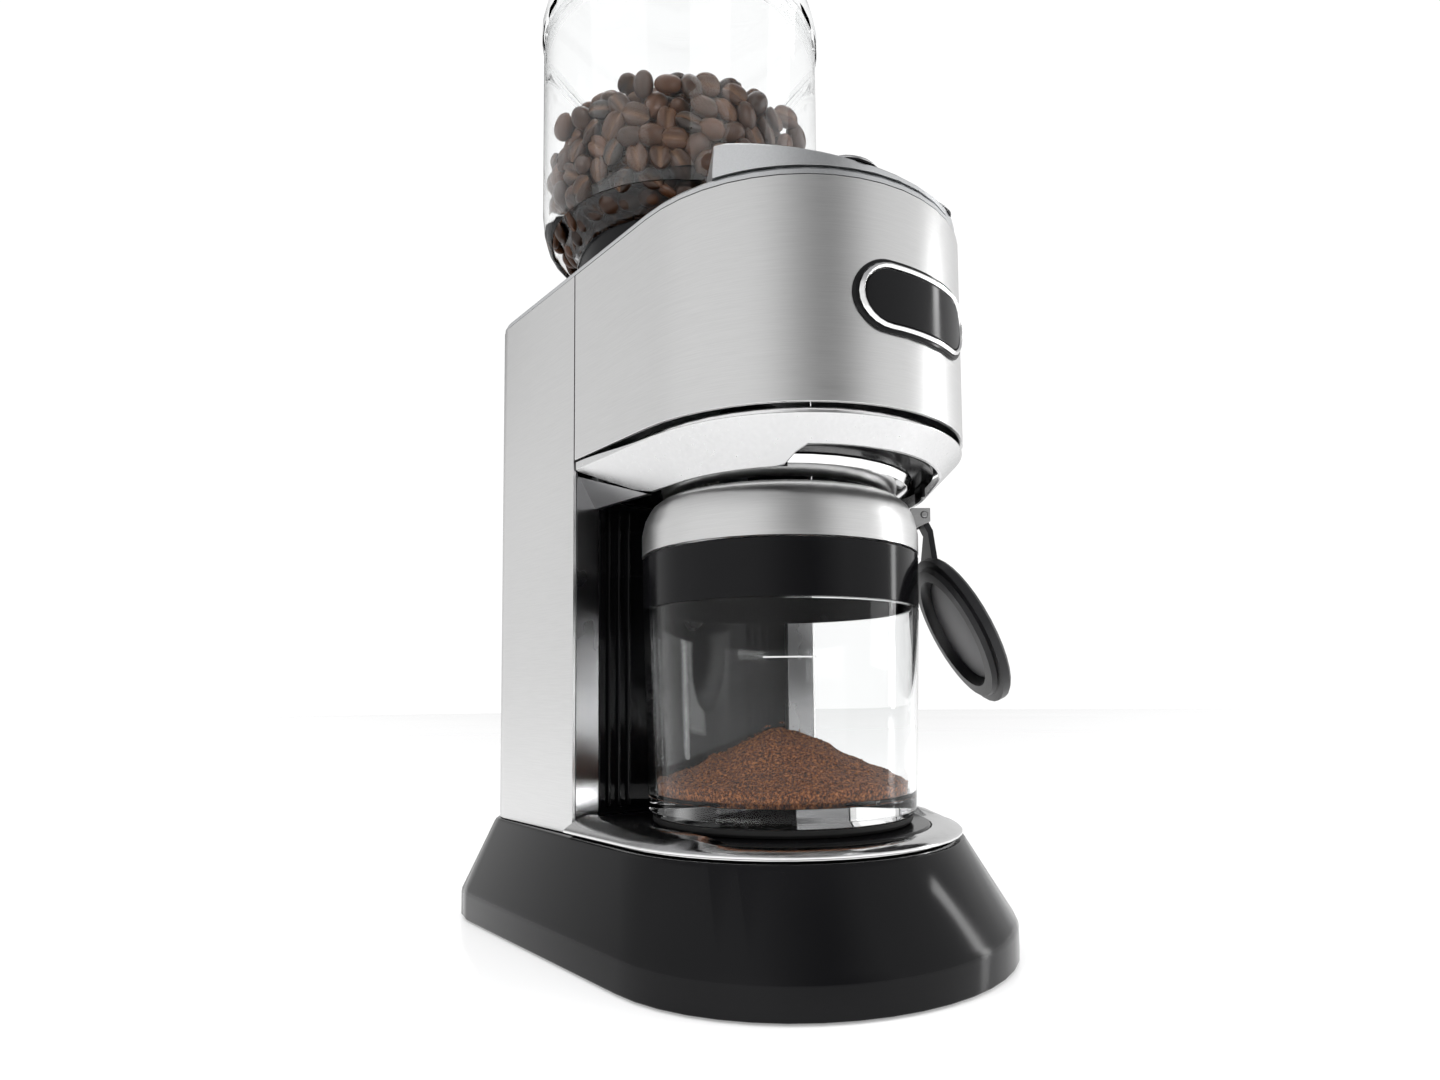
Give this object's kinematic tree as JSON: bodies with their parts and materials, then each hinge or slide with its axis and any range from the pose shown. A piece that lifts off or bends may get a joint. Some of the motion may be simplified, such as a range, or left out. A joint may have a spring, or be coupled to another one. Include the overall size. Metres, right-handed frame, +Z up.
{
  "type": "burr coffee grinder",
  "caption": "Upright burr coffee grinder: clear bean hopper on a brushed steel head and column, with a removable clear grounds container on a flared black base.",
  "frame": {"origin": "middle of the base's footprint, on the surface that it stands on", "axes": "+Z up, the container and the controls face -Y, the motor column stands at +Y"},
  "size_m": [0.155, 0.21, 0.3903],
  "materials": {
    "brushed_steel": "horizontally brushed",
    "satin_metal": "satin",
    "chrome_trim": "polished",
    "gloss_black": "glossy",
    "matt_black": "fine texture",
    "black_rubber": "matt",
    "silver_plastic": "silver, satin",
    "clear_plastic": "clear",
    "smoke_plastic": "smoky clear",
    "grey_plastic": "satin",
    "plain_steel": "plain",
    "burr_steel": "ground",
    "zinc_plate": "plain",
    "pinion_brass": "cut",
    "white_nylon": "moulded",
    "board_green": "resin board"
  },
  "bodies": {
    "grinder_body": {"base_skirt": "gloss_black", "floor_plate": "matt_black", "foot_rear_right": "black_rubber", "foot_rear_left": "black_rubber", "foot_front_right": "black_rubber", "foot_front_left": "black_rubber", "deck_plate": "satin_metal", "container_seat": "gloss_black", "column_wrap": "brushed_steel", "column_trim_left": "satin_metal", "column_trim_right": "satin_metal", "cavity_wall": "gloss_black", "cord_gland": "black_rubber", "chassis": "zinc_plate", "power_board": "board_green", "head_wrap": "brushed_steel", "groove_ring": "chrome_trim", "bevel_ring": "satin_metal", "head_ceiling": "gloss_black", "guide_collar": "chrome_trim", "grounds_chute": "matt_black", "badge_plate": "gloss_black", "badge_rim": "chrome_trim", "top_cover": "silver_plastic", "control_panel": "silver_plastic", "display_window": "gloss_black", "control_board": "board_green", "gear_deck": "zinc_plate", "gear_cover": "zinc_plate", "gearbox_screw_1": "plain_steel", "gearbox_screw_2": "plain_steel", "motor_can": "plain_steel", "lower_bearing": "plain_steel", "upper_bearing": "plain_steel", "grinding_chamber": "zinc_plate"},
    "motor_rotor": {"motor_shaft": "plain_steel", "motor_pinion": "pinion_brass"},
    "grinding_drive": {"drive_gear": "white_nylon", "spindle": "plain_steel", "grounds_sweeper": "white_nylon", "lower_burr": "burr_steel"},
    "upper_burr_set": {"upper_burr": "burr_steel", "burr_carrier": "white_nylon"},
    "grind_ring": {"adjust_ring": "gloss_black"},
    "hopper": {"bean_hopper": "clear_plastic", "hopper_funnel": "smoke_plastic"},
    "hopper_cover": {"hopper_lid": "clear_plastic", "hopper_lid_seal": "clear_plastic"},
    "grounds_container": {"container_base_ring": "black_rubber", "container_jar": "clear_plastic", "cap_skirt": "gloss_black", "container_cap": "brushed_steel", "lid_hinge_pin": "plain_steel"},
    "pouring_lid": {"container_lid": "matt_black", "lid_liner": "grey_plastic"},
    "start_key": {"start_button": "satin_metal"},
    "select_key": {"select_button": "satin_metal"},
    "minus_key": {"minus_button": "satin_metal"},
    "plus_key": {"plus_button": "satin_metal"},
    "switch_plunger": {"container_switch": "matt_black"}
  },
  "joints": [
    {"name": "spindle_turn", "type": "hinge", "parent": "grinder_body", "child": "grinding_drive", "pos_m": [0, 0.0367, 0.1712], "axis": [0, 0, 1], "continuous": true},
    {"name": "motor_turn", "type": "hinge", "parent": "grinder_body", "child": "motor_rotor", "pos_m": [0, 0.0631, 0.1712], "axis": [0, 0, 1], "continuous": true},
    {"name": "adjust_turn", "type": "hinge", "parent": "grinder_body", "child": "grind_ring", "pos_m": [0, 0.0367, 0.2747], "axis": [0, 0, 1], "range_deg": [-60, 60]},
    {"name": "burr_lift", "type": "slide", "parent": "grinder_body", "child": "upper_burr_set", "axis": [0, 0, 1], "range_m": [-0.0003, 0.0003]},
    {"name": "hopper_lift", "type": "slide", "parent": "grind_ring", "child": "hopper", "axis": [0, 0, 1], "range_m": [0, 0.06]},
    {"name": "hopper_lid_lift", "type": "slide", "parent": "hopper", "child": "hopper_cover", "axis": [0, 0, 1], "range_m": [0, 0.04]},
    {"name": "container_slide", "type": "slide", "parent": "grinder_body", "child": "grounds_container", "axis": [0, -1, 0], "range_m": [0, 0.14]},
    {"name": "pouring_lid_swing", "type": "hinge", "parent": "grounds_container", "child": "pouring_lid", "pos_m": [0.04208, -0.05688, 0.155], "axis": [-0.6157, -0.788, 0], "range_deg": [0, 60]},
    {"name": "switch_press", "type": "slide", "parent": "grinder_body", "child": "switch_plunger", "axis": [0, 1, 0], "range_m": [0, 0.0015], "stiffness_N_per_m": 250},
    {"name": "start_press", "type": "slide", "parent": "grinder_body", "child": "start_key", "axis": [0, 0.2542, -0.9671], "range_m": [0, 0.001], "stiffness_N_per_m": 400},
    {"name": "select_press", "type": "slide", "parent": "grinder_body", "child": "select_key", "axis": [0, 0.2542, -0.9671], "range_m": [0, 0.001], "stiffness_N_per_m": 400},
    {"name": "minus_press", "type": "slide", "parent": "grinder_body", "child": "minus_key", "axis": [0, 0.2542, -0.9671], "range_m": [0, 0.001], "stiffness_N_per_m": 400},
    {"name": "plus_press", "type": "slide", "parent": "grinder_body", "child": "plus_key", "axis": [0, 0.2542, -0.9671], "range_m": [0, 0.001], "stiffness_N_per_m": 400}
  ],
  "couplings": [
    {"joint": "motor_turn", "follows": "spindle_turn", "ratio": -3},
    {"joint": "burr_lift", "follows": "adjust_turn", "m_per_rad": 0.00028}
  ]
}
